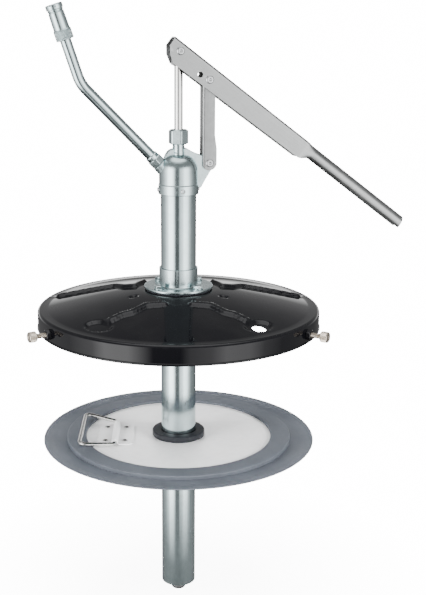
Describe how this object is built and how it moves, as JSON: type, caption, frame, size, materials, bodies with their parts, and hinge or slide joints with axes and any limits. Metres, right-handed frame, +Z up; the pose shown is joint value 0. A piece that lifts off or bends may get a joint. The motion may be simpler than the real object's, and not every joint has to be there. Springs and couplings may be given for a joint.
{
  "type": "grease filler pump",
  "caption": "Hand lever grease filler pump for a pail, with drum cover, clamp screws, outlet spout, follower plate and suction tube.",
  "frame": {"origin": "on the pump's axis, level with the top of the drum cover's flat rim", "axes": "+Z up along the barrel, +X towards the lever's grip, -X towards the outlet spout"},
  "size_m": [0.4684, 0.3573, 0.7218],
  "materials": {
    "zinc_plate": "bright zinc plating, slightly blue-green",
    "satin_steel": "satin plated pressed steel",
    "black_enamel": "gloss black enamel",
    "slate_rubber": "matt slate grey rubber",
    "dark_rubber": "matt dark rubber",
    "sheet_steel": "plain rolled sheet",
    "nickel_plate": "warm nickel plating",
    "bright_wire": "bright drawn wire",
    "turned_steel": "turned steel"
  },
  "bodies": {
    "root": {"pump_tube": "zinc_plate", "pump_head": "zinc_plate", "cover_flange": "zinc_plate", "gland_nut": "zinc_plate", "outlet_nut": "zinc_plate", "outlet_pipe": "zinc_plate", "coupler_body": "zinc_plate", "coupler_collar": "zinc_plate", "flange_bolt_1": "zinc_plate", "flange_bolt_2": "zinc_plate", "flange_bolt_3": "zinc_plate", "flange_bolt_4": "zinc_plate", "drum_cover": "black_enamel", "screw_boss_1": "black_enamel", "screw_boss_2": "black_enamel", "screw_boss_3": "black_enamel", "flange_gasket": "dark_rubber", "head_o_ring": "dark_rubber", "gland_packing": "dark_rubber", "coupler_seal": "dark_rubber", "cover_backing_ring": "turned_steel", "ear_pin": "turned_steel", "foot_valve_seat": "turned_steel", "foot_snap_ring": "turned_steel", "head_set_screw_1": "turned_steel", "head_set_screw_2": "turned_steel", "head_set_screw_3": "turned_steel", "head_set_screw_4": "turned_steel"},
    "rod": {"pump_rod": "turned_steel", "rod_eye": "turned_steel", "rod_pin": "turned_steel", "piston": "turned_steel", "piston_cup_seal": "dark_rubber", "piston_nut": "zinc_plate", "primer_rod": "turned_steel", "primer_foot": "turned_steel"},
    "piston_valve": {"piston_valve_plate": "turned_steel"},
    "foot_valve": {"foot_valve_plate": "turned_steel"},
    "lever": {"lever": "satin_steel", "link_pivot_stud_1": "turned_steel", "link_pivot_stud_2": "turned_steel"},
    "link": {"lever_link": "satin_steel"},
    "follower": {"follower_disc": "sheet_steel", "follower_clamp_ring": "slate_rubber", "follower_lip_seal": "slate_rubber", "follower_collar_seal": "dark_rubber", "bail_strap": "sheet_steel", "bail_rivet_1": "bright_wire", "bail_rivet_2": "bright_wire", "bail_rivet_3": "bright_wire", "bail_rivet_4": "bright_wire"},
    "bail": {"bail_wire": "bright_wire"},
    "thumb_screw_1": {"thumb_screw_1": "nickel_plate"},
    "thumb_screw_2": {"thumb_screw_2": "nickel_plate"},
    "thumb_screw_3": {"thumb_screw_3": "nickel_plate"}
  },
  "joints": [
    {"name": "lever_lift", "type": "hinge", "parent": "rod", "child": "lever", "pos_m": [0, 0, 0.297], "axis": [0, -1, 0], "range_deg": [0, 76]},
    {"name": "rod_slide", "type": "slide", "parent": "root", "child": "rod", "axis": [0, 0, -1], "range_m": [0, 0.05754]},
    {"name": "link_swing", "type": "hinge", "parent": "root", "child": "link", "pos_m": [0.035, 0, 0.17], "axis": [0, 1, 0], "range_deg": [0, 3.23]},
    {"name": "piston_valve_lift", "type": "slide", "parent": "rod", "child": "piston_valve", "axis": [0, 0, 1], "range_m": [0, 0.004]},
    {"name": "foot_valve_lift", "type": "slide", "parent": "root", "child": "foot_valve", "axis": [0, 0, 1], "range_m": [0, 0.004]},
    {"name": "follower_slide", "type": "slide", "parent": "root", "child": "follower", "axis": [0, 0, 1], "range_m": [-0.18, 0.13]},
    {"name": "bail_hinge", "type": "hinge", "parent": "follower", "child": "bail", "pos_m": [-0.07554, 0.01282, -0.1609], "axis": [0.225, 0.9744, 0], "range_deg": [0, 160]},
    {"name": "thumb_screw_1_travel", "type": "slide", "parent": "root", "child": "thumb_screw_1", "axis": [0.9563, 0.2924, 0], "range_m": [0, 0.008]},
    {"name": "thumb_screw_2_travel", "type": "slide", "parent": "root", "child": "thumb_screw_2", "axis": [-0.7314, 0.682, 0], "range_m": [0, 0.008]},
    {"name": "thumb_screw_3_travel", "type": "slide", "parent": "root", "child": "thumb_screw_3", "axis": [-0.225, -0.9744, 0], "range_m": [0, 0.008]}
  ],
  "couplings": [
    {"joint": "rod_slide", "follows": "lever_lift", "m_per_rad": 0.043228},
    {"joint": "link_swing", "follows": "lever_lift", "ratio": 0.041869}
  ]
}
